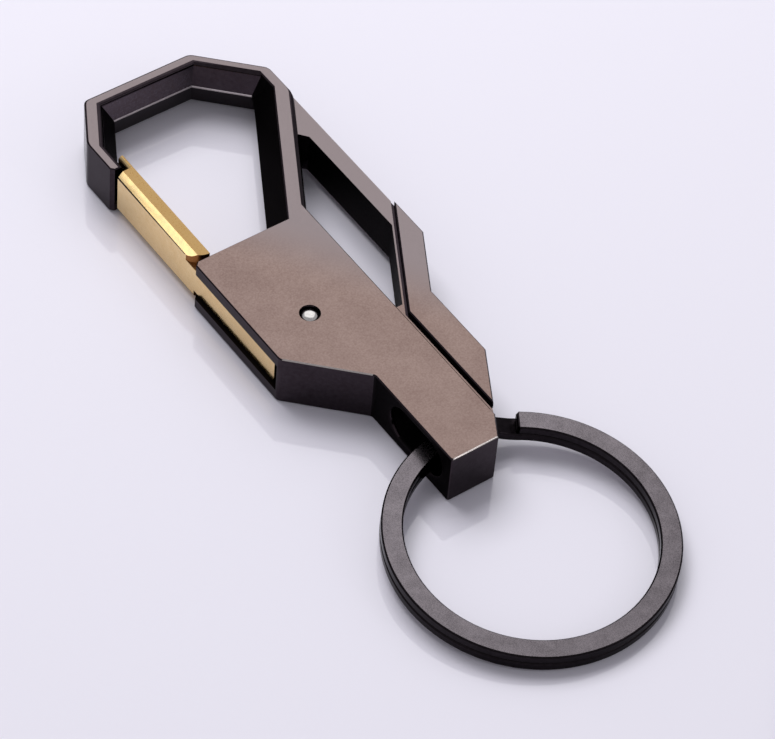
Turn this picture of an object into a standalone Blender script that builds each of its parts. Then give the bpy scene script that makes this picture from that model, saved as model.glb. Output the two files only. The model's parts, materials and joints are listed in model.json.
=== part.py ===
"""Key ring: a cast carabiner hook with a sprung gate and a split ring, lying flat.

Metres, +Z up, +Y towards the hook. Outlines are drawn in body coordinates: X runs across
from the tail's centre line, Y along from the end of the tail, Z up from the back face.
The world origin is the middle of the whole object's footprint, on the surface under it.
"""
import math

import bmesh
import bpy
from mathutils import Matrix, Vector

# Casting, outside
BODY_THICKNESS = 0.0069
BODY_RIGHT = 0.01285
PLATE_LEFT = 0.01125
PLATE_END = 0.03795
TAIL_HALF_WIDTH = 0.00385
TAIL_LENGTH = 0.014
TAIL_CORNER = 0.0016
HOOK_TOP_RIGHT = 0.0063
RIGHT_BAR_LENGTH = 0.00521
PLATE_CORNER = 0.0005
FRONT_EDGE = 0.00013
BACK_EDGE = 0.00025
NECK_EDGE = 0.0006
HOOK_EDGE = 0.00025
HOOK_CORNER = 0.0005
CASTING_CORNER = 0.0003
SLANT = math.radians(30)
DIAGONAL = math.radians(45)

# Hook bars: width at the two faces, and how far each inner wall leans in to a ridge between them
NECK_WIDTH = 0.00224
NECK_RIDGE = 0.0021
RIGHT_BAR_WIDTH = 0.0013
RIGHT_BAR_RIDGE = 0.00105
CORNER_BAR_WIDTH = 0.00136
CORNER_BAR_RIDGE = 0.00045
TOP_BAR_WIDTH = 0.00156
TOP_BAR_RIDGE = 0.00025
LEFT_BAR_WIDTH = 0.00184
LEFT_BAR_RIDGE = 0.00165
NOSE_WIDTH = 0.00135
NOSE_CORNER = 0.0004
NOSE_RIDGE = 0.0009
MOUTH_LENGTH = 0.0164
NOSE_LENGTH = 0.0052327
HOOK_BACK_LEAN = 0.0008
HOOK_INNER_EDGE = 0.00045

# Side frame and wing
FRAME_WALL = 0.0004068
FRAME_SIDE_STEP = 0.0001
FRAME_ROOT = 0.0008
FRAME_BAR_WIDTH = 0.002
FRAME_LEDGE = 0.0004
WINDOW_START = 0.0211
WINDOW_LEDGE = 0.0002
WINDOW_BACK_EDGE = 0.0006
WINDOW_CORNER_WIDTH = 0.00085
WINDOW_CORNER_LENGTH = 0.0025
WING_WIDTH = 0.00458
WING_SHORT_SIDE = 0.01
WING_LONG_SIDE = 0.0055
GROOVE_WIDTH = 0.00035
GROOVE_WALL = 0.00025

# Gate pocket, gate and its seat in the nose
POCKET_HEIGHT = 0.0039
POCKET_DEPTH = 0.0093
POCKET_CORNER = 0.00125
POCKET_END_WALL = 0.00035
PIVOT_FROM_SIDE = 0.00658
PIVOT_FROM_TAIL = 0.0251
GATE_SIDE_STEP = 0.00045
GATE_FACE_STEP = 0.00025
GATE_CHAMFER = 0.0007
GATE_HEEL_GAP = 0.00045
GATE_NOSE_GAP = 0.0005
GATE_FACE_CLEARANCE = 0.00025
GATE_ARM_END_GAP = 0.001
GATE_HUB_RADIUS = 0.0024
GATE_HUB_THICKNESS = 0.00105
TAB_WIDTH = 0.00055
TAB_LENGTH = 0.0021
TAB_CHAMFER = 0.0003
TAB_SEAT_GAP = 0.0003
TAB_SEAT_DEPTH = 0.00065
TAB_SEAT_END_GAP = 0.0009

# Rivet and spring
RIVET_RADIUS = 0.0008
RIVET_HEAD_RADIUS = 0.00095
RIVET_HEAD_HEIGHT = 0.0005
RIVET_DOME = 0.00012
RIVET_RECESS = 0.00015
RIVET_FIT = 0.00008
RIVET_SINK_RADIUS = 0.0012
SPRING_WIRE_RADIUS = 0.000175
SPRING_COIL_RADIUS = 0.00135
SPRING_COIL_GAP = 0.00042
SPRING_TURNS = 2
SPRING_LEG_LENGTH = 0.0046
SPRING_SEAT_GAP = 0.00015

# Split ring and its slot
RING_OUTER_RADIUS = 0.016
RING_WIRE_WIDTH = 0.00236
RING_WIRE_THICKNESS = 0.0011
RING_WIRE_EDGE = 0.00016
RING_TURN_GAP = 0.0001
RING_END_ROUND = 0.0003
RING_JOG_START = math.radians(60)
RING_JOG_ANGLE = math.radians(18)
RING_STEP = math.radians(3)
RING_SHIFT = 0.0004
RING_DROP = 0.00035
RING_AXIS_DROP = 0.00015
RING_AXIS_SHIFT = 0.00075
SLOT_CLEARANCE = 0.0002
SLOT_END_WALL = 0.00175
SLOT_LENGTH = 0.00925
SLOT_EDGE = 0.00055
SLOT_DRAFT = 0.0003
SLOT_WALL = 0.00035
SLOT_FLARE_LENGTH = 0.0015

OVERRUN = 0.001
WELD_DISTANCE = 0.000002
FLAT_ANGLE = math.radians(0.1)
ROUND_SHARES = (0, 0.3, 1)
CIRCLE_SIDES = 40
CORNER_STEPS = 3
SLOT_SIDES = 12

PARTS = bpy.data.collections.new("key_ring")
CUTTERS = bpy.data.collections.new("cutters")

# Sizes that follow from the ones above
MIDDLE = BODY_THICKNESS / 2
NECK_RISE = (BODY_RIGHT - TAIL_HALF_WIDTH) / math.tan(SLANT)
CORNER_RISE = (BODY_RIGHT - HOOK_TOP_RIGHT) / math.tan(DIAGONAL)
BODY_LENGTH = PLATE_END + NECK_RISE + RIGHT_BAR_LENGTH + CORNER_RISE
NOSE_END = PLATE_END + MOUTH_LENGTH
NOSE_TOP = NOSE_END + NOSE_LENGTH
HOOK_TOP_LEFT = PLATE_LEFT - (BODY_LENGTH - NOSE_TOP) * math.tan(SLANT)
RING_RADIUS = RING_OUTER_RADIUS - RING_WIRE_WIDTH / 2
RING_HEIGHT = 2 * RING_WIRE_THICKNESS + RING_TURN_GAP
RING_SAG = RING_RADIUS - math.sqrt(RING_RADIUS ** 2 - TAIL_HALF_WIDTH ** 2)
SLOT_RADIUS = math.hypot(RING_SAG + RING_WIRE_WIDTH / 2, RING_HEIGHT / 2) + SLOT_CLEARANCE
SLOT_FLARE = MIDDLE - SLOT_RADIUS - SLOT_WALL
FRAME_FACE_STEP = MIDDLE - SLOT_RADIUS - SLOT_DRAFT - FRAME_WALL
GROOVE_DEPTH = MIDDLE - SLOT_RADIUS - SLOT_DRAFT - GROOVE_WALL
RING_AXIS = Vector((-RING_SHIFT, SLOT_END_WALL + SLOT_RADIUS + RING_AXIS_SHIFT, MIDDLE - RING_AXIS_DROP))
# The wire lies a little below its swing axis, and the ring's far side rests on the table
RING_REACH = RING_RADIUS + RING_OUTER_RADIUS
RING_REST = Vector((RING_REACH - RING_WIRE_EDGE, RING_DROP + RING_HEIGHT / 2))
RING_TILT = math.asin(RING_AXIS.z / RING_REST.length) - math.atan2(RING_REST.y, RING_REST.x)
RING_EDGE_RISE = (RING_HEIGHT / 2 - RING_WIRE_EDGE - RING_DROP) * math.sin(RING_TILT)
RING_END_SHARE = 1 - 2 * RING_END_ROUND / RING_WIRE_WIDTH
RING_FAR_SIDE = RING_REACH * math.cos(RING_TILT) + RING_EDGE_RISE - RING_AXIS.y
TO_WORLD = Vector((RING_SHIFT, (RING_FAR_SIDE - BODY_LENGTH) / 2, 0))
PIVOT = Vector((PIVOT_FROM_SIDE - PLATE_LEFT, PIVOT_FROM_TAIL, 0))
POCKET_BOTTOM = MIDDLE - POCKET_HEIGHT / 2
POCKET_TOP = MIDDLE + POCKET_HEIGHT / 2
POCKET_WALL = POCKET_DEPTH - PLATE_LEFT
PLATE_START = TAIL_LENGTH + (PLATE_LEFT - TAIL_HALF_WIDTH) / math.tan(DIAGONAL)
ARM_BOTTOM = POCKET_BOTTOM + GATE_FACE_CLEARANCE
ARM_TOP = POCKET_TOP - GATE_FACE_CLEARANCE
HUB_TOP = ARM_BOTTOM + GATE_HUB_THICKNESS
GATE_OUTSIDE = GATE_SIDE_STEP - PLATE_LEFT
GATE_START = PLATE_END + GATE_HEEL_GAP
GATE_END = NOSE_END - GATE_NOSE_GAP
SEAT_WALL = NOSE_WIDTH + NOSE_RIDGE - TAB_SEAT_DEPTH - PLATE_LEFT
TAB_OUTSIDE = SEAT_WALL + TAB_SEAT_GAP
GATE_INSIDE = TAB_OUTSIDE + TAB_WIDTH
GATE_WIDTH = GATE_INSIDE - GATE_OUTSIDE


def polar(centre, radius, angle):
    """Return the flat point at an angle from +X on a circle."""
    return Vector((centre[0] + radius * math.cos(angle), centre[1] + radius * math.sin(angle)))


def slanted(point, y):
    """Return the point at height y on the slanted line through a point."""
    return Vector((point[0] + (y - point[1]) * math.tan(SLANT), y))


def slanted_to(point, x):
    """Return the point at x on the slanted line through a point."""
    return Vector((x, point[1] + (x - point[0]) / math.tan(SLANT)))


def inset(outline, amounts):
    """Move each edge of a counterclockwise outline inwards by its own amount and mitre the corners."""
    edges = []
    for index, amount in enumerate(amounts):
        start = Vector(outline[index])
        along = (Vector(outline[(index + 1) % len(outline)]) - start).normalized()
        edges.append((start + along.orthogonal() * amount, along))
    corners = []
    for index, (start, along) in enumerate(edges):
        last_start, last_along = edges[index - 1]
        distance = (start - last_start).cross(along) / last_along.cross(along)
        corners.append(last_start + last_along * distance)
    return corners


def make_object(name, mesh, collection, origin=Vector((0, 0, 0))):
    """Make an object from a mesh in body coordinates, with its origin at a point of the body."""
    mesh.transform(Matrix.Translation(-origin))
    thing = bpy.data.objects.new(name, mesh)
    thing.location = origin + TO_WORLD
    collection.objects.link(thing)
    if collection == CUTTERS:
        thing.hide_render = True
        thing.display_type = "WIRE"
    return thing


def loft(name, sections, collection):
    """Skin a stack of sections with equal numbers of points, and close both ends."""
    shape = bmesh.new()
    rings = []
    for section in sections:
        rings.append([shape.verts.new(point) for point in section])
    count = len(rings[0])
    for lower, upper in zip(rings, rings[1:]):
        for index in range(count):
            after = (index + 1) % count
            shape.faces.new((lower[index], lower[after], upper[after], upper[index]))
    shape.faces.new(list(reversed(rings[0])))
    shape.faces.new(rings[-1])
    bmesh.ops.recalc_face_normals(shape, faces=shape.faces)
    mesh = bpy.data.meshes.new(name)
    shape.to_mesh(mesh)
    shape.free()
    return make_object(name, mesh, collection)


def curve_mesh(name, curve):
    """Turn a curve into a closed mesh and remove the curve."""
    guide = bpy.data.objects.new(name, curve)
    CUTTERS.objects.link(guide)
    graph = bpy.context.evaluated_depsgraph_get()
    mesh = bpy.data.meshes.new_from_object(guide.evaluated_get(graph))
    bpy.data.objects.remove(guide)
    shape = bmesh.new()
    shape.from_mesh(mesh)
    bmesh.ops.remove_doubles(shape, verts=shape.verts, dist=WELD_DISTANCE)
    bmesh.ops.dissolve_limit(shape, angle_limit=FLAT_ANGLE, verts=shape.verts, edges=shape.edges)
    bmesh.ops.recalc_face_normals(shape, faces=shape.faces)
    shape.to_mesh(mesh)
    shape.free()
    return mesh


def poly_spline(curve, points, cyclic):
    """Add a spline of straight pieces through points to a curve."""
    spline = curve.splines.new("POLY")
    spline.points.add(len(points) - 1)
    for spline_point, point in zip(spline.points, points):
        spline_point.co = (*Vector(point).to_3d(), 1)
    spline.use_cyclic_u = cyclic
    return spline


def plate(name, outline, bottom, top, collection, origin=Vector((0, 0, 0))):
    """Make a flat plate from an outline, between two heights."""
    curve = bpy.data.curves.new(name, "CURVE")
    curve.dimensions = "2D"
    curve.fill_mode = "BOTH"
    curve.extrude = (top - bottom) / 2
    poly_spline(curve, outline, True)
    mesh = curve_mesh(name, curve)
    mesh.name = name
    mesh.transform(Matrix.Translation((0, 0, (top + bottom) / 2)))
    return make_object(name, mesh, collection, origin)


def disc(name, radius, bottom, top, collection, origin):
    """Make a round plate about the pivot, between two heights."""
    outline = [polar(PIVOT, radius, math.tau * side / CIRCLE_SIDES) for side in range(CIRCLE_SIDES)]
    return plate(name, outline, bottom, top, collection, origin)


def combine(target, operation, tools):
    """Add a Boolean modifier to the target for each tool."""
    for tool in tools:
        modifier = target.modifiers.new(tool.name, "BOOLEAN")
        modifier.operation = operation
        modifier.solver = "EXACT"
        modifier.object = tool


def finish(thing, name, colour, roughness, metallic):
    """Give a part its own Principled material."""
    material = bpy.data.materials.new(name)
    material.use_nodes = True
    shader = material.node_tree.nodes["Principled BSDF"]
    shader.inputs["Base Color"].default_value = (*colour, 1)
    shader.inputs["Roughness"].default_value = roughness
    shader.inputs["Metallic"].default_value = metallic
    thing.data.materials.clear()
    thing.data.materials.append(material)


def smooth(thing):
    """Shade a round part smooth, with its corners left sharp."""
    thing.data.shade_smooth()
    thing.data.set_sharp_from_angle(angle=SLANT)


def body_outline():
    """Return the casting's outline and the position of the neck's edge in it."""
    neck_start = Vector((TAIL_HALF_WIDTH, PLATE_END))
    right_start = slanted_to(neck_start, BODY_RIGHT)
    return [
        Vector((-TAIL_HALF_WIDTH, 0)),
        Vector((TAIL_HALF_WIDTH - TAIL_CORNER, 0)),
        slanted_to((TAIL_HALF_WIDTH - TAIL_CORNER, 0), TAIL_HALF_WIDTH),
        neck_start,
        right_start,
        Vector((BODY_RIGHT, BODY_LENGTH - CORNER_RISE)),
        Vector((HOOK_TOP_RIGHT, BODY_LENGTH)),
        Vector((-HOOK_TOP_LEFT, BODY_LENGTH)),
        Vector((-PLATE_LEFT, NOSE_TOP)),
        Vector((-PLATE_LEFT, PLATE_START)),
        Vector((-TAIL_HALF_WIDTH, TAIL_LENGTH)),
    ]


def round_inset(radius, below):
    """Return how far a rounded edge stands in at a distance below its face."""
    depth = min(below, radius)
    return radius - math.sqrt(radius ** 2 - (radius - depth) ** 2)


def rounded(outline, corner_rounds):
    """Replace corners of an outline by curves that start at a given distance before the corner."""
    points = []
    for index, corner in enumerate(outline):
        if index not in corner_rounds:
            points.append(corner)
            continue
        start = corner + (outline[index - 1] - corner).normalized() * corner_rounds[index]
        end = corner + (outline[(index + 1) % len(outline)] - corner).normalized() * corner_rounds[index]
        for step in range(CORNER_STEPS + 1):
            share = step / CORNER_STEPS
            points.append(start.lerp(corner, share).lerp(corner.lerp(end, share), share))
    return points


def edged_sections(outline, front_radii, corner_rounds):
    """Return sections of a casting with small front edges, rounded back edges and given front radii."""
    edges = range(len(outline))
    sections = []
    for share in ROUND_SHARES:
        amounts = [round_inset(BACK_EDGE, BACK_EDGE * share)] * len(outline)
        section = rounded(inset(outline, amounts), corner_rounds)
        sections.append([(*point, BACK_EDGE * share) for point in section])
    for below in (NECK_EDGE, NECK_EDGE / 2, FRONT_EDGE, 0):
        amounts = [round_inset(front_radii.get(edge, FRONT_EDGE), below) for edge in edges]
        section = rounded(inset(outline, amounts), corner_rounds)
        sections.append([(*point, BODY_THICKNESS - below) for point in section])
    return sections


def hook_cutter():
    """Return the hook's opening, whose walls meet in a ridge at half thickness."""
    outline = body_outline()
    bars = outline[3:9] + [Vector((-PLATE_LEFT, PLATE_END))]
    widths = [NECK_WIDTH, RIGHT_BAR_WIDTH, CORNER_BAR_WIDTH, TOP_BAR_WIDTH, LEFT_BAR_WIDTH, NOSE_WIDTH, 0]
    inner = inset(bars, widths)
    outside = -PLATE_LEFT - OVERRUN
    opening = inner[:6] + [
        Vector((inner[6].x, NOSE_END)),
        Vector((-PLATE_LEFT + NOSE_CORNER, NOSE_END)),
        Vector((outside, NOSE_END + NOSE_CORNER + OVERRUN)),
        Vector((outside, PLATE_END - PLATE_CORNER - OVERRUN)),
        Vector((-PLATE_LEFT + PLATE_CORNER, PLATE_END)),
    ]
    ridges = [NECK_RIDGE, RIGHT_BAR_RIDGE, CORNER_BAR_RIDGE, TOP_BAR_RIDGE, LEFT_BAR_RIDGE, NOSE_RIDGE]
    ridges += [0] * (len(opening) - len(ridges))
    lean = HOOK_BACK_LEAN
    back_leans = [0, 0, lean, lean, lean] + [0] * (len(opening) - 5)
    front_edges = [FRONT_EDGE] * len(opening)
    front_edges[2:6] = [HOOK_INNER_EDGE] * 4
    levels = [
        (-OVERRUN, 0, 1, BACK_EDGE),
        (0, 0, 1, BACK_EDGE),
        (BACK_EDGE, BACK_EDGE / MIDDLE, 1 - BACK_EDGE / MIDDLE, 0),
        (MIDDLE, 1, 0, 0),
        (BODY_THICKNESS - HOOK_INNER_EDGE, HOOK_INNER_EDGE / MIDDLE, 0, 0),
        (BODY_THICKNESS - HOOK_INNER_EDGE / 2, HOOK_INNER_EDGE / MIDDLE / 2, 0, 0),
        (BODY_THICKNESS - FRONT_EDGE, FRONT_EDGE / MIDDLE, 0, 0),
        (BODY_THICKNESS, 0, 0, 0),
        (BODY_THICKNESS + OVERRUN, 0, 0, 0),
    ]
    sections = []
    for height, ridge_share, lean_share, back_edge in levels:
        below = max(BODY_THICKNESS - height, 0)
        amounts = []
        for ridge, back_lean, front_edge in zip(ridges, back_leans, front_edges):
            front_round = round_inset(front_edge, below)
            amounts.append(ridge * ridge_share - back_lean * lean_share - back_edge - front_round)
        sections.append([(*point, height) for point in inset(opening, amounts)])
    return loft("hook_opening", sections, CUTTERS)


def wing_corners():
    """Return the wing's outline, from its tip at the tail round its outer side."""
    tail_corner = (TAIL_HALF_WIDTH - TAIL_CORNER, 0)
    inner_x = TAIL_HALF_WIDTH + FRAME_LEDGE + GROOVE_WIDTH
    outer_x = TAIL_HALF_WIDTH + WING_WIDTH
    short_start = slanted_to(tail_corner, outer_x)
    short_end = short_start + Vector((0, WING_SHORT_SIDE))
    long_start = slanted_to(short_end, BODY_RIGHT)
    long_end = long_start + Vector((0, WING_LONG_SIDE))
    return [
        slanted_to(tail_corner, inner_x),
        short_start,
        short_end,
        long_start,
        long_end,
        slanted_to(long_end, inner_x),
    ]


def frame_with_window():
    """Return the lower side frame, let into the plate and the neck, with its window cut out."""
    wing = wing_corners()
    outline = body_outline()
    silhouette = [outline[2]] + wing[1:4] + [outline[4], outline[3]]
    step = FRAME_SIDE_STEP
    frame = plate(
        "side_frame",
        inset(silhouette, [step, step, step, step, -FRAME_ROOT, -FRAME_ROOT]),
        FRAME_FACE_STEP,
        BODY_THICKNESS - FRAME_FACE_STEP,
        CUTTERS,
    )
    bar = BODY_RIGHT - FRAME_SIDE_STEP - FRAME_BAR_WIDTH
    corner = wing[5] - Vector(((GROOVE_WIDTH + WINDOW_LEDGE) / math.cos(SLANT), 0))
    cut_start = slanted_to(outline[3], bar) - Vector((0, WINDOW_CORNER_LENGTH))
    cut_end = slanted_to(outline[3], bar - WINDOW_CORNER_WIDTH)
    cut_end += (cut_end - cut_start).normalized() * (FRAME_ROOT + OVERRUN)
    root = TAIL_HALF_WIDTH - FRAME_ROOT - OVERRUN
    opening = [
        Vector((root, WINDOW_START)),
        slanted(corner, WINDOW_START),
        slanted_to(corner, bar),
        cut_start,
        cut_end,
        Vector((root, PLATE_END + OVERRUN)),
    ]
    levels = [
        (FRAME_FACE_STEP - OVERRUN, WINDOW_BACK_EDGE),
        (FRAME_FACE_STEP, WINDOW_BACK_EDGE),
        (FRAME_FACE_STEP + WINDOW_BACK_EDGE, 0),
        (BODY_THICKNESS, 0),
    ]
    sections = []
    for height, spread in levels:
        amounts = [0, -spread, -spread, -spread, 0, 0]
        sections.append([(*point, height) for point in inset(opening, amounts)])
    window = loft("frame_window", sections, CUTTERS)
    combine(frame, "DIFFERENCE", [window] + groove_cutters())
    return frame


def groove_cutters():
    """Return the grooves in the frame along the wing, which run under it until it is joined on."""
    wing = wing_corners()
    top = slanted_to(wing[4], BODY_RIGHT + OVERRUN)
    bottom = Vector((wing[5].x, wing[0].y - OVERRUN))
    under_wing = [top, wing[5], bottom, Vector((top.x, bottom.y))]
    outline = inset(under_wing, [-GROOVE_WIDTH, -GROOVE_WIDTH, 0, 0])
    front = plate(
        "front_groove",
        outline,
        BODY_THICKNESS - GROOVE_DEPTH,
        BODY_THICKNESS + OVERRUN,
        CUTTERS,
    )
    back = plate("back_groove", outline, -OVERRUN, GROOVE_DEPTH, CUTTERS)
    return [front, back]


def slot_cutter():
    """Return the slot for the split ring, which widens from its soft rim towards the wing's side."""
    near = SLOT_END_WALL + SLOT_RADIUS
    centres = (near, near + SLOT_LENGTH - 2 * SLOT_RADIUS)
    rim = -TAIL_HALF_WIDTH
    wing_start = TAIL_HALF_WIDTH + FRAME_LEDGE + GROOVE_WIDTH
    widths = [(rim - OVERRUN, SLOT_EDGE)]
    widths += [(rim + SLOT_EDGE * share, round_inset(SLOT_EDGE, SLOT_EDGE * share)) for share in ROUND_SHARES]
    widths += [
        (wing_start, SLOT_DRAFT),
        (wing_start + SLOT_FLARE_LENGTH, SLOT_FLARE),
        (BODY_RIGHT, SLOT_FLARE),
    ]
    sections = []
    for x, grow in widths:
        section = []
        for centre, start in ((centres[1], -math.pi / 2), (centres[0], math.pi / 2)):
            for side in range(SLOT_SIDES + 1):
                point = polar((centre, MIDDLE), SLOT_RADIUS + grow, start + math.pi * side / SLOT_SIDES)
                section.append((x, point.x, point.y))
        sections.append(section)
    return loft("ring_slot", sections, CUTTERS)


def pocket_cutter():
    """Return the gate's pocket, open on the plate's left side and towards the hook."""
    start = PLATE_START + POCKET_END_WALL
    outside = -PLATE_LEFT - OVERRUN
    outline = [
        Vector((outside, start)),
        Vector((POCKET_WALL - POCKET_CORNER, start)),
        Vector((POCKET_WALL, start + POCKET_CORNER)),
        Vector((POCKET_WALL, PLATE_END + OVERRUN)),
        Vector((outside, PLATE_END + OVERRUN)),
    ]
    return plate("gate_pocket", outline, POCKET_BOTTOM, POCKET_TOP, CUTTERS)


def seat_cutter():
    """Return the flat in the nose's inner wall that the gate's tab closes on."""
    outline = [
        Vector((SEAT_WALL, NOSE_END - OVERRUN)),
        Vector((SEAT_WALL + TAB_SEAT_DEPTH + OVERRUN, NOSE_END - OVERRUN)),
        Vector((SEAT_WALL + TAB_SEAT_DEPTH + OVERRUN, GATE_END + TAB_LENGTH + TAB_SEAT_END_GAP)),
        Vector((SEAT_WALL, GATE_END + TAB_LENGTH + TAB_SEAT_END_GAP)),
    ]
    return plate("tab_seat", outline, -OVERRUN, BODY_THICKNESS + OVERRUN, CUTTERS)


def make_body():
    """Make the casting: plate, tail, hook, side frame and wing in one piece."""
    front_radii = {3: NECK_EDGE, 5: HOOK_EDGE, 6: HOOK_EDGE, 7: HOOK_EDGE}
    corner_rounds = {4: HOOK_CORNER, 5: HOOK_CORNER, 6: HOOK_CORNER, 7: HOOK_CORNER}
    corner_rounds |= {8: HOOK_CORNER, 0: CASTING_CORNER, 9: CASTING_CORNER, 10: CASTING_CORNER}
    body = loft("body", edged_sections(body_outline(), front_radii, corner_rounds), PARTS)
    wing = loft("wing", edged_sections(wing_corners(), {}, {}), CUTTERS)
    combine(body, "UNION", [frame_with_window(), wing])
    hole = disc(
        "rivet_hole", RIVET_RADIUS + RIVET_FIT, -OVERRUN, BODY_THICKNESS + OVERRUN, CUTTERS, PIVOT
    )
    sink_depth = RIVET_RECESS + RIVET_HEAD_HEIGHT + RIVET_FIT
    back_sink = disc("back_sink", RIVET_SINK_RADIUS, -OVERRUN, sink_depth, CUTTERS, PIVOT)
    front_sink = disc(
        "front_sink", RIVET_SINK_RADIUS, BODY_THICKNESS - sink_depth, BODY_THICKNESS + OVERRUN, CUTTERS, PIVOT
    )
    cutters = [hook_cutter(), pocket_cutter(), seat_cutter(), slot_cutter(), hole, back_sink, front_sink]
    combine(body, "DIFFERENCE", cutters)
    finish(body, "gunmetal casting", (0.2, 0.17, 0.16), 0.4, 1)
    return body


def arm_inner_line():
    """Return the foot and the head of the arm's inner edge, which the spring's leg lies along."""
    head = Vector((GATE_INSIDE, PLATE_END))
    spacing = SPRING_COIL_RADIUS + SPRING_WIRE_RADIUS + SPRING_SEAT_GAP
    to_head = head - PIVOT.to_2d()
    lean = math.atan2(-to_head.x, to_head.y) - math.asin(spacing / to_head.length)
    return head, lean


def bar(name, left, chamfer, start, end):
    """Make a length of the gate's bar, whose outer long edges are chamfered."""
    bottom = GATE_FACE_STEP
    top = BODY_THICKNESS - GATE_FACE_STEP
    section = [
        (left + chamfer, bottom),
        (GATE_INSIDE, bottom),
        (GATE_INSIDE, top),
        (left + chamfer, top),
        (left, top - chamfer),
        (left, bottom + chamfer),
    ]
    sections = [[(x, y, z) for x, z in section] for y in (start, end)]
    return loft(name, sections, CUTTERS)


def make_gate():
    """Make the gate: the bar across the hook's mouth, its tab, and the arm and hub in the pocket."""
    head, lean = arm_inner_line()
    arm_start = PLATE_START + POCKET_END_WALL + GATE_ARM_END_GAP
    arm_end = GATE_START + 2 * GATE_WIDTH
    foot = Vector((head.x + (head.y - arm_start) * math.tan(lean), arm_start))
    arm_outline = [
        Vector((GATE_OUTSIDE, arm_start)),
        foot,
        head,
        Vector((GATE_INSIDE - GATE_SIDE_STEP, arm_end)),
        Vector((GATE_OUTSIDE, arm_end)),
    ]
    gate = plate("gate", arm_outline, ARM_BOTTOM, ARM_TOP, PARTS, PIVOT)
    block = bar("gate_block", GATE_OUTSIDE, GATE_CHAMFER, GATE_START, GATE_END)
    tab = bar("gate_tab", TAB_OUTSIDE, TAB_CHAMFER, GATE_END - GATE_WIDTH, GATE_END + TAB_LENGTH)
    heel_centre = Vector((GATE_INSIDE, GATE_START + GATE_WIDTH))
    heel = [heel_centre + Vector((-GATE_WIDTH - OVERRUN, 0))]
    for side in range(SLOT_SIDES + 1):
        heel.append(polar(heel_centre, GATE_WIDTH, math.pi + math.pi / 2 * side / SLOT_SIDES))
    heel += [heel_centre + Vector((0, -GATE_WIDTH - OVERRUN)), heel[0] + Vector((0, -GATE_WIDTH - OVERRUN))]
    heel_cut = plate("heel_round", list(reversed(heel)), ARM_BOTTOM, BODY_THICKNESS, CUTTERS)
    combine(block, "DIFFERENCE", [heel_cut])
    hub = disc("gate_hub", GATE_HUB_RADIUS, ARM_BOTTOM, HUB_TOP, CUTTERS, PIVOT)
    to_head = head - PIVOT.to_2d()
    web_turn = math.atan2(to_head.y, to_head.x) - math.acos(GATE_HUB_RADIUS / to_head.length)
    web_outline = [
        Vector((foot.x - GATE_HUB_RADIUS, foot.y + RIVET_RADIUS)),
        polar(PIVOT, GATE_HUB_RADIUS, -math.pi / 2),
        polar(PIVOT, GATE_HUB_RADIUS, web_turn),
        head,
        head - Vector((GATE_WIDTH / 2, 0)),
    ]
    web = plate("gate_web", web_outline, ARM_BOTTOM, HUB_TOP, CUTTERS, PIVOT)
    hole = disc("hub_hole", RIVET_RADIUS + RIVET_FIT, ARM_BOTTOM - OVERRUN, HUB_TOP + OVERRUN, CUTTERS, PIVOT)
    combine(gate, "UNION", [block, tab, hub, web])
    combine(gate, "DIFFERENCE", [hole])
    finish(gate, "brass coloured gate", (0.62, 0.42, 0.2), 0.3, 1)
    return gate


def make_rivet():
    """Turn the rivet that the gate pivots on, with a domed head sunk in each face."""
    top = BODY_THICKNESS - RIVET_RECESS
    head = top - RIVET_HEAD_HEIGHT
    half = [
        (0, top),
        (RIVET_HEAD_RADIUS / 2, top - RIVET_DOME / 4),
        (RIVET_HEAD_RADIUS - RIVET_DOME, top - RIVET_DOME),
        (RIVET_HEAD_RADIUS, top - 2 * RIVET_DOME),
        (RIVET_HEAD_RADIUS, head),
        (RIVET_RADIUS, head),
    ]
    profile = half + [(radius, BODY_THICKNESS - height) for radius, height in reversed(half)]
    mesh = bpy.data.meshes.new("pivot_rivet")
    points = [(PIVOT.x + radius, PIVOT.y, height) for radius, height in profile]
    mesh.from_pydata(points, [(index, index + 1) for index in range(len(points) - 1)], [])
    rivet = make_object("pivot_rivet", mesh, PARTS, PIVOT)
    screw = rivet.modifiers.new("turn", "SCREW")
    screw.steps = CIRCLE_SIDES
    screw.render_steps = CIRCLE_SIDES
    screw.use_merge_vertices = True
    screw.merge_threshold = WELD_DISTANCE
    screw.use_smooth_shade = True
    finish(rivet, "bright steel rivet", (0.75, 0.74, 0.73), 0.25, 1)
    return rivet


def least_gap(points, thickness, apart):
    """Return the least gap of a wound wire to itself, on points further apart than a given number."""
    gaps = []
    for index, point in enumerate(points):
        for other in points[index + apart:]:
            gaps.append((point - other).length - thickness)
    return min(gaps)


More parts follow.
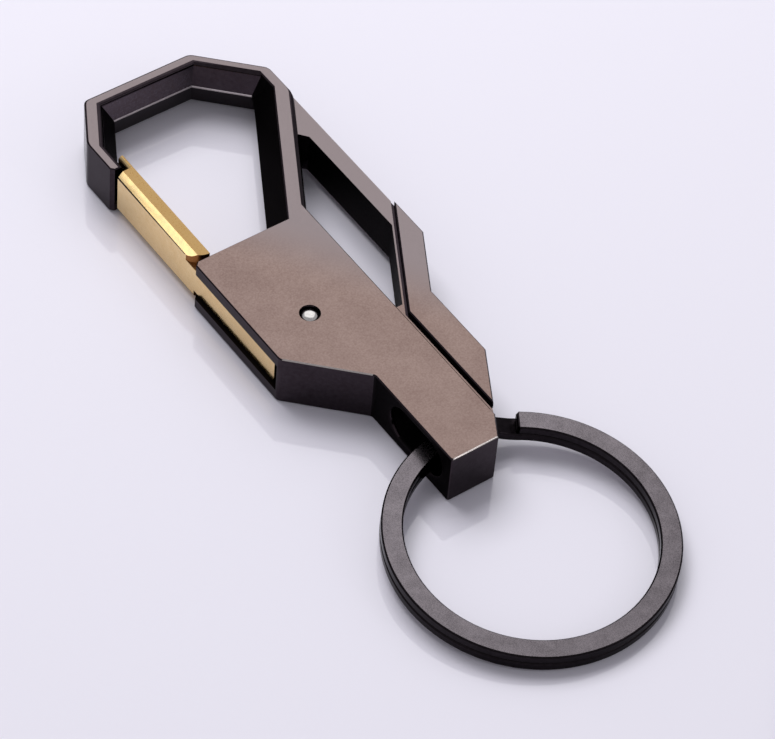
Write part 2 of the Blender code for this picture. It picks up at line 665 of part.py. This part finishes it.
def make_spring():
    """Wind the torsion spring round the rivet, with one leg on the pocket's wall and one on the arm."""
    pitch = 2 * SPRING_WIRE_RADIUS + SPRING_COIL_GAP
    head, lean = arm_inner_line()
    arm_turn = math.pi + lean
    reach = POCKET_WALL - PIVOT.x - SPRING_WIRE_RADIUS - SPRING_SEAT_GAP
    diagonal = math.hypot(SPRING_COIL_RADIUS, SPRING_LEG_LENGTH)
    wall_turn = math.acos(reach / diagonal) - math.atan2(SPRING_LEG_LENGTH, SPRING_COIL_RADIUS)
    wound = wall_turn - arm_turn + math.tau * (SPRING_TURNS + 1)
    rise = pitch * wound / math.tau
    bottom = (HUB_TOP + POCKET_TOP - rise) / 2
    steps = round(wound / math.tau * CIRCLE_SIDES / 2)
    coil = []
    for step in range(steps + 1):
        share = step / steps
        flat = polar(PIVOT, SPRING_COIL_RADIUS, arm_turn + wound * share)
        coil.append(Vector((flat.x, flat.y, bottom + rise * share)))
    arm_leg = Vector((-math.sin(lean), math.cos(lean), 0)) * SPRING_LEG_LENGTH
    wall_leg = Vector((-math.sin(wall_turn), math.cos(wall_turn), 0)) * SPRING_LEG_LENGTH
    points = [coil[0] + arm_leg] + coil + [coil[-1] + wall_leg]
    curve = bpy.data.curves.new("gate_spring", "CURVE")
    curve.dimensions = "3D"
    curve.bevel_depth = SPRING_WIRE_RADIUS
    curve.bevel_resolution = 2
    curve.use_fill_caps = True
    poly_spline(curve, points, False)
    mesh = curve_mesh("gate_spring", curve)
    mesh.name = "gate_spring"
    spring = make_object("gate_spring", mesh, PARTS, PIVOT)
    finish(spring, "spring steel", (0.5, 0.5, 0.5), 0.3, 1)
    smooth(spring)
    gap = least_gap(coil, 2 * SPRING_WIRE_RADIUS, CIRCLE_SIDES // 4)
    print("gate_spring least gap between turns", round(gap, 6))
    return spring


def make_ring():
    """Wind the split ring from flat wire: a lower turn, a jog and an upper turn."""
    off = (RING_WIRE_THICKNESS + RING_TURN_GAP) / 2
    start = RING_JOG_START + RING_JOG_ANGLE
    jog = RING_JOG_START + math.tau
    end = RING_JOG_START + 2 * math.tau
    steps = round((end - start) / RING_STEP)
    angles = [start + RING_STEP * step for step in range(1, steps)]
    rounding = RING_END_ROUND / RING_RADIUS
    points = []
    for angle in [start, start + rounding] + angles + [end - rounding, end]:
        share = min(max((angle - jog) / RING_JOG_ANGLE, 0), 1)
        height = off * (2 * share * share * (3 - 2 * share) - 1) - RING_DROP
        flat = polar((0, -RING_RADIUS), RING_RADIUS, angle)
        points.append(Vector((flat.x, flat.y, height)))
    half_width = RING_WIRE_WIDTH / 2
    half_height = RING_WIRE_THICKNESS / 2
    edge = RING_WIRE_EDGE
    quarter = [(half_width - edge, half_height), (half_width, half_height - edge)]
    section = quarter + [(x, -y) for x, y in reversed(quarter)]
    section += [(-x, -y) for x, y in quarter] + [(-x, y) for x, y in reversed(quarter)]
    profile = bpy.data.curves.new("ring_section", "CURVE")
    profile.dimensions = "2D"
    poly_spline(profile, section, True)
    profile_object = bpy.data.objects.new("ring_section", profile)
    CUTTERS.objects.link(profile_object)
    profile_object.hide_render = True
    profile_object.display_type = "WIRE"
    curve = bpy.data.curves.new("split_ring", "CURVE")
    curve.dimensions = "3D"
    curve.twist_mode = "Z_UP"
    curve.bevel_mode = "OBJECT"
    curve.bevel_object = profile_object
    curve.use_fill_caps = True
    spline = poly_spline(curve, points, False)
    spline.points[0].radius = RING_END_SHARE
    spline.points[-1].radius = RING_END_SHARE
    mesh = curve_mesh("split_ring", curve)
    mesh.name = "split_ring"
    ring = make_object("split_ring", mesh, PARTS)
    ring.location = RING_AXIS + TO_WORLD
    ring.rotation_euler.x = RING_TILT
    finish(ring, "dark steel ring", (0.1, 0.1, 0.11), 0.35, 1)
    smooth(ring)
    gap = least_gap(points, RING_WIRE_THICKNESS, round(math.pi / RING_STEP))
    print("split_ring least gap between turns", round(gap, 6))
    return ring


for old in list(bpy.data.objects):
    bpy.data.objects.remove(old)
bpy.context.scene.collection.children.link(PARTS)
bpy.context.scene.collection.children.link(CUTTERS)
make_body()
make_gate()
make_rivet()
make_spring()
make_ring()
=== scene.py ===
# %% [markdown]
# # A carabiner key ring on a white acrylic sheet
# The key ring has five pieces: a cast hook with a side frame, a sprung brass gate, the rivet
# that the gate turns on, its hidden spring, and a split ring of flat wire. Their exact solids
# are already modelled and are loaded here as a frame that nothing may move. A solid from a CAD
# model has hard edges, so each piece is dressed: a copy with clean faces and softly broken
# edges stands in its place, and gets its finishes, which are built from shader nodes.

# %% Load the frame
import json
import math

import bmesh
import bpy
from mathutils import Matrix, Vector

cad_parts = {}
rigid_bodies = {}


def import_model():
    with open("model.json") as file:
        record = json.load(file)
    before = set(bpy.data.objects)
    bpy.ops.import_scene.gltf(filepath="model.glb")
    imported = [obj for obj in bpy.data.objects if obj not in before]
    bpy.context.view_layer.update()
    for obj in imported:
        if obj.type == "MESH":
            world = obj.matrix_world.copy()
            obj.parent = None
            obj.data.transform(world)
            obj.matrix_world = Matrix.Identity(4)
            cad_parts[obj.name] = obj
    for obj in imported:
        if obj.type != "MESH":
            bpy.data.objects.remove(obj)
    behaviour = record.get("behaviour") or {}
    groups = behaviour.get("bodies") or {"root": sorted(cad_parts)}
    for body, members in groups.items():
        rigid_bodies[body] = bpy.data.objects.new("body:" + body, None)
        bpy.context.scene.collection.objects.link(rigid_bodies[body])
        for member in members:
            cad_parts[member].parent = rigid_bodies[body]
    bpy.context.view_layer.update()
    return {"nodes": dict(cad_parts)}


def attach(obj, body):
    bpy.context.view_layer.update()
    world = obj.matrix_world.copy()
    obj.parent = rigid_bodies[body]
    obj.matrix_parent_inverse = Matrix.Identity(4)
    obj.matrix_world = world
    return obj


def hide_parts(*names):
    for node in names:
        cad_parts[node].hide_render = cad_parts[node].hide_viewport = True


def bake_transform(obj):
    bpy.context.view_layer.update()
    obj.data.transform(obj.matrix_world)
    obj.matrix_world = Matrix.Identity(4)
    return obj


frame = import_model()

MILLIMETRE = 0.001
scene = bpy.context.scene
scene.view_settings.view_transform = "Standard"

# %% [markdown]
# ## The camera
# The photograph looks down on the hook from its front left, from 0.44 m away with a long lens.
# A camera matrix is the plainest way to write such a view: its columns are the directions that
# point right, up and backwards in the picture. The focal length was measured in pixels, and
# Blender's sensor is 36 mm wide, so one is turned into the other.

# %% Camera
PICTURE_WIDTH = 775
FOCAL_LENGTH_IN_PIXELS = 4000
SENSOR_WIDTH_MM = 36
CAMERA_PLACE = (-0.18128, -0.22329, 0.32965)

view_right = Vector((0.8130, -0.5790, 0.0615))
view_forward = Vector((0.4186, 0.5078, -0.7530)).normalized()
view_right = (view_right - view_forward * view_right.dot(view_forward)).normalized()
view_up = view_right.cross(view_forward)

bpy.ops.object.camera_add()
camera = bpy.context.object
camera.name = "photo_camera"
view_turn = Matrix((view_right, view_up, -view_forward)).transposed()
camera.matrix_world = Matrix.Translation(CAMERA_PLACE) @ view_turn.to_4x4()
camera.data.sensor_width = SENSOR_WIDTH_MM
camera.data.lens = FOCAL_LENGTH_IN_PIXELS / PICTURE_WIDTH * camera.data.sensor_width
scene.camera = camera
print("lens", round(camera.data.lens, 1), "mm")

# %% [markdown]
# ## Colours and nodes
# A colour picked from a picture is an sRGB value, but a shader works with linear light, so one
# function does the conversion for every colour here. Another adds a node, sets its values and
# links its inputs, which keeps each finish below short enough to read.


# %% Colour and node helpers
def colour(hex_code):
    """Turn an sRGB hex colour into the linear colour that a shader takes."""
    channels = []
    for start in (1, 3, 5):
        value = int(hex_code[start:start + 2], 16) / 255
        channels.append(value / 12.92 if value <= 0.04045 else ((value + 0.055) / 1.055) ** 2.4)
    return (*channels, 1)


def add_node(material, kind, settings, values, links):
    """Add a shader node with its settings, input values and links, inputs by name or number."""
    node = material.node_tree.nodes.new(kind)
    for name, setting in settings.items():
        setattr(node, name, setting)
    for name, value in values.items():
        node.inputs[name].default_value = value
    for name, output in links.items():
        material.node_tree.links.new(output, node.inputs[name])
    return node


print("white is", tuple(round(value, 2) for value in colour("#ffffff")))

# %% [markdown]
# ## A plated metal
# Every metal on the key ring is plated, and plating has a grain: it is a little lighter and
# rougher from one speck to the next, and clouds over a few millimetres. So one recipe serves all
# finishes. A fine noise is the grain and a coarse one, at less than half its weight, the clouds.
# Together they move the colour between two tones, and the grain alone moves the roughness and a
# bump of a thousandth of a millimetre or so. The real grain is a few hundredths of a millimetre
# wide, too fine to show where a pixel is 0.11 mm wide, so it is drawn as coarse as it needs to
# show, 0.15 to 0.7 mm. A plated surface is all metal, so Metallic is 1. Metals shine white where
# one looks along them, but a dark plating less so, which is what Specular Tint is for on a metal.


# %% Plated metal
CLOUD_WEIGHT = 0.4
ROUGHNESS_SPREAD = 0.05
BUMP_STRENGTH = 0.12
BUMP_HEIGHT_MM = 0.01


def plate_metal(name, dark, light, roughness, grain_mm, cloud_mm=4, sheen=1):
    """Make a plated metal with a fine grain and faint clouds between two tones."""
    metal = bpy.data.materials.new(name)
    metal.use_nodes = True
    shader = metal.node_tree.nodes["Principled BSDF"]
    shader.inputs["Metallic"].default_value = 1
    shader.inputs["Specular Tint"].default_value = (sheen, sheen, sheen, 1)
    place = add_node(metal, "ShaderNodeTexCoord", {}, {}, {}).outputs["Object"]
    grain = add_node(
        metal, "ShaderNodeTexNoise", {},
        {"Scale": 1 / (grain_mm * MILLIMETRE), "Detail": 3, "Roughness": 0.6}, {"Vector": place},
    ).outputs["Fac"]
    clouds = add_node(
        metal, "ShaderNodeTexNoise", {},
        {"Scale": 1 / (cloud_mm * MILLIMETRE), "Detail": 2}, {"Vector": place},
    ).outputs["Fac"]
    both = add_node(
        metal, "ShaderNodeMath", {"operation": "MULTIPLY_ADD"},
        {1: CLOUD_WEIGHT}, {0: clouds, 2: grain},
    ).outputs[0]
    tone = add_node(
        metal, "ShaderNodeMapRange", {}, {"From Min": 0.5, "From Max": 0.9}, {"Value": both}
    ).outputs["Result"]
    tint = add_node(
        metal, "ShaderNodeMix", {"data_type": "RGBA"},
        {6: colour(dark), 7: colour(light)}, {0: tone},
    ).outputs[2]
    smoothest, roughest = roughness - ROUGHNESS_SPREAD, roughness + ROUGHNESS_SPREAD
    blur = add_node(
        metal, "ShaderNodeMapRange", {},
        {"From Min": 0.3, "From Max": 0.7, "To Min": smoothest, "To Max": roughest},
        {"Value": grain},
    ).outputs["Result"]
    bump = add_node(
        metal, "ShaderNodeBump", {},
        {"Strength": BUMP_STRENGTH, "Distance": BUMP_HEIGHT_MM * MILLIMETRE}, {"Height": grain},
    ).outputs["Normal"]
    metal.node_tree.links.new(tint, shader.inputs["Base Color"])
    metal.node_tree.links.new(blur, shader.inputs["Roughness"])
    metal.node_tree.links.new(bump, shader.inputs["Normal"])
    return metal


print("the clouds have", CLOUD_WEIGHT, "of the grain's weight")

# %% [markdown]
# ## Finishes of the casting
# The casting is die-cast zinc in a gunmetal plating. Its front and back are rubbed down to a
# satin, a warm pinkish grey on the broad plate, and a ramp that runs slantwise across the casting
# paints it cooler on the narrow bars of the hook and the frame: painted light. The walls keep the
# plating of the bath: a black violet grey that shines and mirrors the table. The sloping faces
# inside the hook are painted a little lighter: a painted sheen. Down in the window, the slot and
# the pocket, the plating is painted near black: painted shade. Along the edges that face the
# viewer a pale line is painted: a painted highlight.

# %% Gunmetal finishes
TO_THE_BARS = (1.5, 1, 0)
WARM_UP_TO_MM = 6
COOL_FROM_MM = 22

satin_gunmetal = plate_metal(
    "satin_gunmetal_face", "#8c766f", "#a79189", roughness=0.34, grain_mm=0.2
)
satin_shader = satin_gunmetal.node_tree.nodes["Principled BSDF"]
warm_tone = satin_shader.inputs["Base Color"].links[0].from_socket
# Painted light: the ramp below cools the satin towards the bars for how the light falls across
# the casting.
place = add_node(satin_gunmetal, "ShaderNodeTexCoord", {}, {}, {}).outputs["Object"]
across = add_node(
    satin_gunmetal, "ShaderNodeVectorMath", {"operation": "DOT_PRODUCT"},
    {1: TO_THE_BARS}, {0: place},
).outputs["Value"]
to_bars = add_node(
    satin_gunmetal, "ShaderNodeMapRange", {"interpolation_type": "SMOOTHSTEP"},
    {"From Min": WARM_UP_TO_MM * MILLIMETRE, "From Max": COOL_FROM_MM * MILLIMETRE},
    {"Value": across},
).outputs["Result"]
both_tones = add_node(
    satin_gunmetal, "ShaderNodeMix", {"data_type": "RGBA"}, {7: colour("#988c8d")},
    {0: to_bars, 6: warm_tone},
).outputs[2]
satin_gunmetal.node_tree.links.new(both_tones, satin_shader.inputs["Base Color"])
black_gunmetal = plate_metal(
    "black_gunmetal_wall", "#31292e", "#3a3338", roughness=0.18, grain_mm=0.5, sheen=0.7
)
# Painted sheen: a lighter copy of the wall plating for the slopes under the hook's top, which
# mirror brighter light.
painted_sheen_gunmetal = plate_metal(
    "painted_sheen_gunmetal_slope", "#463c40", "#524a51", roughness=0.24, grain_mm=0.3, sheen=0.8
)
# Painted shade: a near black copy of the wall plating, for recesses and walls where shade falls.
painted_shade_gunmetal = plate_metal(
    "painted_shade_gunmetal_recess", "#191618", "#211e20", roughness=0.5, grain_mm=0.3, sheen=0.5
)
# Painted highlight: a pale copy of the plating for edges that catch the light.
painted_highlight_gunmetal = plate_metal(
    "painted_highlight_gunmetal_edge", "#c4bab7", "#d8d0cd", roughness=0.22, grain_mm=0.2
)
casting_finishes = [
    satin_gunmetal, black_gunmetal, painted_sheen_gunmetal, painted_shade_gunmetal, painted_highlight_gunmetal
]
print("made", ", ".join(finish.name for finish in casting_finishes))

# %% [markdown]
# ## Finishes of the gate, the rivet, the spring and the ring
# The gate is plated in a pale brass colour and polished, with a slightly uneven surface. Its
# front and back flats are duller than the bevels and the side, and painted darker: painted shade.
# In the scoop at its heel the brass is painted darker and redder: painted shade and a painted
# reflection of the brass round it. A fine dark line is painted along the edge of its bevel:
# painted shade. The rivet is bright nickel. The ring is spring steel in black nickel: its flat
# sides are rubbed to a grey satin with a speckle, and its edges stay black. The hidden spring is
# plain drawn wire.

# %% Brass, nickel and steel finishes
polished_brass = plate_metal(
    "polished_brass_gate", "#eac98c", "#f2d59d", roughness=0.2, grain_mm=0.7
)
# Painted shade: the flats are a darker copy of the brass; their greater roughness is real.
dull_shaded_brass = plate_metal("dull_shaded_brass_flat", "#b6935e", "#c2a06c", roughness=0.3, grain_mm=0.3)
# Painted shade and painted reflection: a darker, redder copy of the brass for the scoop.
painted_shade_brass = plate_metal("painted_shade_brass_heel", "#8a5a30", "#9c6a3c", roughness=0.35, grain_mm=0.2)
# Painted shade: a near black line along the edge of the bevel.
painted_shade_line = plate_metal(
    "painted_shade_line_on_brass", "#1a110a", "#231811", roughness=0.4, grain_mm=0.2
)
bright_nickel = plate_metal(
    "bright_nickel_rivet", "#d6d2cf", "#e9e6e3", roughness=0.16, grain_mm=0.3
)
satin_nickel = plate_metal(
    "satin_black_nickel_ring", "#6d676b", "#968e93", roughness=0.28, grain_mm=0.15, cloud_mm=1.5
)
black_nickel = plate_metal(
    "black_nickel_ring_edge", "#1f1b1e", "#2a2529", roughness=0.2, grain_mm=0.4, sheen=0.7
)
drawn_steel = plate_metal(
    "drawn_spring_steel", "#8d8d90", "#9b9b9e", roughness=0.3, grain_mm=0.2
)
print("made", len(bpy.data.materials), "materials in all")

# %% [markdown]
# ## From a solid to a dressed piece
# A copy of a solid starts as loose triangles. Merging their corners and dissolving the edges
# between coplanar ones gives back the clean flat faces, on which edit mode's tools work as they
# would on a piece modelled by hand. Each face then gets its finish by a rule on its place and
# direction, and edges are picked by a rule in the same way and rounded with the bevel tool. All
# other sharp edges are broken by a bevel modifier, which finds them by their angle, and weighted
# normals keep the flats flat beside them.


# %% Copy a solid, give its faces finishes and round its edges
SAME_PLANE = math.radians(0.5)
SHARP_TO_ROUND = math.radians(10)
SHARP_TO_BREAK = math.radians(32)
SHADED_SMOOTH = math.radians(50)


def copy_solid(node, name, finishes, finish_of):
    """Copy a solid with clean faces, and give each face the finish that a rule picks."""
    bpy.ops.object.select_all(action="DESELECT")
    solid = frame["nodes"][node]
    solid.select_set(True)
    bpy.context.view_layer.objects.active = solid
    bpy.ops.object.duplicate(linked=False)
    piece = bpy.context.object
    bpy.ops.object.parent_clear(type="CLEAR_KEEP_TRANSFORM")
    piece.name = name
    piece.data.name = name
    bpy.ops.object.mode_set(mode="EDIT")
    bpy.ops.mesh.select_all(action="SELECT")
    bpy.ops.mesh.remove_doubles(threshold=0.001 * MILLIMETRE)
    bpy.ops.mesh.dissolve_limited(angle_limit=SAME_PLANE)
    bpy.ops.object.mode_set(mode="OBJECT")
    piece.data.materials.clear()
    for finish in finishes:
        piece.data.materials.append(finish)
    for face in piece.data.polygons:
        face.material_index = finishes.index(finish_of(face.center / MILLIMETRE, face.normal))
    print(name, "has", len(piece.data.polygons), "clean faces")
    return piece


def round_edges(piece, is_wanted, width_mm, segments, finish, clamp=True):
    """Round the edges that a rule picks by their middle and their two faces' normals."""
    shape = bmesh.new()
    shape.from_mesh(piece.data)
    picked = []
    for edge in shape.edges:
        middle = (edge.verts[0].co + edge.verts[1].co) / 2 / MILLIMETRE
        normals = [face.normal for face in edge.link_faces]
        is_sharp = edge.is_convex and edge.calc_face_angle(0) > SHARP_TO_ROUND
        if is_sharp and is_wanted(middle, *normals):
            picked.append(edge.index)
    shape.free()
    bpy.ops.object.select_all(action="DESELECT")
    piece.select_set(True)
    bpy.context.view_layer.objects.active = piece
    bpy.ops.object.mode_set(mode="EDIT")
    bpy.ops.mesh.select_mode(type="EDGE")
    bpy.ops.mesh.select_all(action="DESELECT")
    bpy.ops.object.mode_set(mode="OBJECT")
    for index in picked:
        piece.data.edges[index].select = True
    bpy.ops.object.mode_set(mode="EDIT")
    bpy.ops.mesh.bevel(
        offset=width_mm * MILLIMETRE, segments=segments, affect="EDGES", clamp_overlap=clamp,
        material=piece.data.materials.find(finish.name),
    )
    bpy.ops.object.mode_set(mode="OBJECT")
    print(piece.name, "rounded", len(picked), "edges with", finish.name)


def break_sharp_edges(piece, width_mm, finish, body, node):
    """Break all other sharp edges, shade the piece and let it stand for its solid.

    Without a finish, each broken edge keeps that of the faces beside it.
    """
    bevel = piece.modifiers.new("broken edges", "BEVEL")
    bevel.width = width_mm * MILLIMETRE
    bevel.segments = 2
    bevel.limit_method = "ANGLE"
    bevel.angle_limit = SHARP_TO_BREAK
    bevel.material = piece.data.materials.find(finish.name) if finish else -1
    bpy.context.view_layer.objects.active = piece
    bpy.ops.object.modifier_apply(modifier=bevel.name)
    bpy.ops.object.shade_smooth_by_angle(angle=SHADED_SMOOTH)
    weighted = piece.modifiers.new("flat faces stay flat", "WEIGHTED_NORMAL")
    weighted.weight = 100
    weighted.keep_sharp = True
    bpy.ops.object.modifier_apply(modifier=weighted.name)
    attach(piece, body)
    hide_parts(node)
    print(piece.name, "is dressed with", len(piece.data.polygons), "faces")


print("solids to dress:", ", ".join(sorted(frame["nodes"])))

# %% [markdown]
# ## The cast hook
# The rule for the casting follows what a polishing wheel reaches, and where light and shade are
# painted. Flats near the front and back are satin. The small edge strips round them are black,
# except at the ring's end, where those that face the viewer are painted pale: a painted
# highlight.
# Walls inside the window, slot, pocket and groove, and those at both sides of the hook's opening,
# are painted near black: painted shade. The slopes under the hook's top are painted lighter, a
# painted sheen, and the ridge below them is painted pale, a painted highlight. All else is black
# gunmetal.
#
# The places in the rule are millimetres in the frame. A direction is a normal's share along an
# axis: 1 looks straight along it, 0.7 at 45 degrees, and 0 across it.

# %% Places on the casting
FLAT_ON = 0.97
FACES_VIEWER = -0.45
BACK_FLAT_MM = 0.6
FRONT_FLAT_MM = 6.3
FRONT_RIM_MM = 6.2
RIDGE_MM = 3.45
SLOT_START_MM = -19.4
SLOT_END_MM = -8.5
SLOT_HALF_HEIGHT_MM = 2.4
SLOT_LIP_OUTSIDE_MM = -3.46
SLOT_LIP_INSIDE_MM = -2.85
WINDOW_LEFT_MM = 4.3
WINDOW_START_MM = -5
WINDOW_END_MM = 28
HOOK_CORNERS_MM = 34.5
TOP_BAR_RIGHT_MM = 8
LEFT_BAR_RIGHT_MM = -5
NOSE_INSIDE_MM = -9
print("the ridge round the hook's opening is", RIDGE_MM, "mm above the table")

# %% [markdown]
# With the places named, the rule reads from the outside in: first the flats, then the strips
# round them and the floors of grooves and sinks, then the walls.


# %% Cast hook
def casting_finish(centre, normal):
    """Pick the finish of a face of the casting."""
    on_flat = centre.z > FRONT_FLAT_MM or centre.z < BACK_FLAT_MM
    if on_flat and abs(normal.z) > FLAT_ON:
        return satin_gunmetal
    # Painted highlight on the edge strips that face the viewer.
    if centre.z > FRONT_RIM_MM and normal.z > 0.2:
        highlit = normal.y < FACES_VIEWER and centre.y < 0
        return painted_highlight_gunmetal if highlit else black_gunmetal
    # Painted shade on the floors of grooves and sinks.
    if abs(normal.z) > 0.9:
        return painted_shade_gunmetal
    in_slot = (
        SLOT_START_MM < centre.y < SLOT_END_MM and abs(normal.x) < 0.6
        and abs(centre.z - RIDGE_MM) < SLOT_HALF_HEIGHT_MM
    )
    on_slot_lip = SLOT_LIP_OUTSIDE_MM < centre.x < SLOT_LIP_INSIDE_MM and in_slot
    in_window = (
        centre.x > WINDOW_LEFT_MM and WINDOW_START_MM < centre.y < WINDOW_END_MM
        and normal.x < 0.3
    )
    under_hook_top = (
        centre.y > HOOK_CORNERS_MM and centre.x < TOP_BAR_RIGHT_MM
        and normal.y < -0.5 and normal.z > 0.03
    )
    faces_left = normal.x < -0.3 and centre.x > NOSE_INSIDE_MM and normal.y > -0.5
    inside_left_bar = (
        normal.x > 0.3 and centre.x < LEFT_BAR_RIGHT_MM and centre.y > HOOK_CORNERS_MM
    )
    # Painted sheen on the slopes under the hook's top.
    if under_hook_top:
        return painted_sheen_gunmetal
    if on_slot_lip:
        return black_gunmetal
    # Painted shade on walls in recesses and at both sides of the hook's opening.
    if in_slot or in_window or faces_left or inside_left_bar:
        return painted_shade_gunmetal
    return black_gunmetal


def is_highlit_ridge(middle, one, other):
    """Tell whether an edge is the ridge round the hook's opening, along its top."""
    both_are_walls = abs(one.z) < 0.45 and abs(other.z) < 0.45
    both_face_down_the_hook = one.y < -0.5 and other.y < -0.5
    return both_are_walls and both_face_down_the_hook and abs(middle.z - RIDGE_MM) < 0.05


def is_highlit_rim(middle, one, other):
    """Tell whether an edge runs round the front face at the ring's end, towards the viewer."""
    front, side = (one, other) if one.z > other.z else (other, one)
    on_front_rim = front.z > FLAT_ON and middle.z > FRONT_RIM_MM
    return on_front_rim and side.y < FACES_VIEWER and middle.y < 0


cast_hook = copy_solid("body", "cast_hook", casting_finishes, casting_finish)
# Painted highlights: the ridge and the rim towards the viewer are rounded in the pale finish.
round_edges(cast_hook, is_highlit_ridge, width_mm=0.18, segments=3, finish=painted_highlight_gunmetal)
round_edges(cast_hook, is_highlit_rim, width_mm=0.1, segments=2, finish=painted_highlight_gunmetal)
break_sharp_edges(
    cast_hook, width_mm=0.1, finish=black_gunmetal,
    body="body", node="body",
)

# %% [markdown]
# ## The brass gate
# The gate is a bar with bevelled outer edges and a scoop at its heel. A dark line of painted
# shade runs along the straight edge between its bevel and its outer side. Bevel narrows a cut
# where it finds a short edge beside it, and would leave a line too thin to see here, so its clamp
# is off.

# %% Brass gate
HEEL_START_MM = 17
HEEL_END_MM = 22
SCOOP_END_MM = 21
GATE_SIDE_MM = -10


def gate_finish(centre, normal):
    """Pick the finish of a face of the gate."""
    # The scoop gets painted shade, and the flats a darker copy of the brass as painted shade.
    in_scoop = normal.y < -0.1 and abs(normal.z) < 0.2
    if in_scoop and HEEL_START_MM < centre.y < HEEL_END_MM:
        return painted_shade_brass
    return dull_shaded_brass if abs(normal.z) > FLAT_ON else polished_brass


def is_painted_shade_line(middle, one, other):
    """Tell whether an edge runs straight between the gate's bevel and its outer side."""
    side, bevel = sorted((one.x, other.x))
    on_side = middle.x < GATE_SIDE_MM and middle.y > SCOOP_END_MM
    return on_side and side < -0.95 and -0.8 < bevel < -0.6


brass_gate = copy_solid(
    "gate", "brass_gate", [polished_brass, dull_shaded_brass, painted_shade_brass, painted_shade_line], gate_finish
)
round_edges(
    brass_gate, is_painted_shade_line, width_mm=0.13, segments=1, finish=painted_shade_line, clamp=False
)
break_sharp_edges(
    brass_gate, width_mm=0.04, finish=None,
    body="gate", node="gate",
)

# %% [markdown]
# ## The rivet and the split ring
# The rivet's domed heads are turned smooth. The ring is one wire wound twice round, so only the
# outer flats of its two turns are rubbed to satin. The flats between the turns, the edges and
# the jog where the wire steps from one turn to the other stay black. The ring leans a little,
# but once the copy is clean each flat is a single face, and its centre tells which flat it is.


# %% Rivet and ring
BETWEEN_TURNS_MM = 2.04
OUTER_FLAT_FROM_MM = 0.8


def is_outer_flat(centre, normal):
    """Tell whether a face is the flat of a turn that looks away from the other turn."""
    is_flat = abs(normal.z) > 0.99 and abs(normal.x) < 0.05
    return is_flat and abs(centre.z - BETWEEN_TURNS_MM) > OUTER_FLAT_FROM_MM


rivet = copy_solid(
    "pivot_rivet", "domed_rivet", [bright_nickel], lambda centre, normal: bright_nickel
)
break_sharp_edges(
    rivet, width_mm=0.02, finish=None,
    body="body", node="pivot_rivet",
)
wire_ring = copy_solid(
    "split_ring", "flat_wire_ring", [satin_nickel, black_nickel],
    lambda centre, normal: satin_nickel if is_outer_flat(centre, normal) else black_nickel,
)
break_sharp_edges(
    wire_ring, width_mm=0.16, finish=black_nickel,
    body="ring", node="split_ring",
)

# %% [markdown]
# ## The spring
# One leg of the gate's spring lies on the wall of the pocket and the other on the gate's arm,
# and its coil sits round the rivet. When the gate opens, the left leg goes with it and winds the
# coil up. Here the spring is a copy of its solid, shaded smooth, with its place baked into its
# corners; it is not tied to the casting or the gate and is not wound.

# %% Spring
torsion_spring = copy_solid(
    "gate_spring", "torsion_spring", [drawn_steel], lambda centre, normal: drawn_steel
)
bpy.ops.object.shade_smooth_by_angle(angle=SHADED_SMOOTH)
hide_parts("gate_spring")
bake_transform(torsion_spring)
print("the spring has", len(torsion_spring.data.vertices), "corners to wind")

# %% [markdown]
# ## The table
# The key ring lies on a white acrylic sheet. It scatters most of the light, and its polished
# face mirrors some seven per cent of it, so a faint dark likeness of the walls shows in it.

# %% Table
TABLE_SIZE = 3
TABLE_DROP_MM = 0.02

bpy.ops.object.select_all(action="DESELECT")
bpy.ops.mesh.primitive_plane_add(
    size=TABLE_SIZE, location=(0, 0, -TABLE_DROP_MM * MILLIMETRE)
)
table_top = bpy.context.object
table_top.name = "table"
acrylic = bpy.data.materials.new("white_acrylic_sheet")
acrylic.use_nodes = True
acrylic_shader = acrylic.node_tree.nodes["Principled BSDF"]
acrylic_shader.inputs["Base Color"].default_value = colour("#efecf8")
acrylic_shader.inputs["Roughness"].default_value = 0.05
acrylic_shader.inputs["Specular IOR Level"].default_value = 0.9
table_top.data.materials.append(acrylic)
print("table at", round(table_top.location.z / MILLIMETRE, 2), "mm")

# %% [markdown]
# ## Light
# The key ring is lit as small goods often are: soft light from all round and above, a softbox
# close behind the hook whose light its satin faces throw at the camera, a small card at the left
# that draws the pale band along the gate, and one in front that catches the edges painted pale as
# highlights. A white world gives the light from all round. The softbox above isn't mirrored in
# anything, and the left card lights the gate alone: else each would lie as a white square in the
# sheet.

# %% World and lamps
world = bpy.data.worlds.new("white_studio")
world.use_nodes = True
scene.world = world
world.node_tree.nodes["Background"].inputs["Color"].default_value = colour("#f4f3f8")
world.node_tree.nodes["Background"].inputs["Strength"].default_value = 0.42


def add_softbox(name, target_mm, direction, distance, size, brightness):
    """Hang a square softbox in a direction from a point of the key ring, facing that point."""
    target = Vector(target_mm) * MILLIMETRE
    place = target + Vector(direction).normalized() * distance
    bpy.ops.object.light_add(type="AREA", location=place)
    lamp = bpy.context.object
    lamp.name = name
    lamp.rotation_euler = (place - target).to_track_quat("Z", "Y").to_euler()
    lamp.data.shape = "SQUARE"
    lamp.data.size = size
    lamp.data.energy = brightness * math.pi * size ** 2
    lamp.visible_camera = False
    print(name, round(lamp.data.energy, 3), "W")
    return lamp


softbox_above = add_softbox(
    "softbox_above", (-20, 30, 0), (0.1, 0.6, 1), distance=0.8, size=0.5, brightness=5.1
)
softbox_above.visible_glossy = False
add_softbox(
    "softbox_behind", (-14, 22, 7), (0.4186, 0.5078, 0.753),
    distance=0.25, size=0.2, brightness=0.74,
)
card_left = add_softbox(
    "card_left", (-10.8, 30, 6), (-0.753, 0.508, 0.418), distance=0.25, size=0.06, brightness=1.6
)
gate_only = bpy.data.collections.new("gate_only")
gate_only.objects.link(brass_gate)
card_left.light_linking.receiver_collection = gate_only
add_softbox(
    "card_front", (0, -20, 6), (0.42, -0.753, 0.508), distance=0.5, size=0.1, brightness=2.0
)
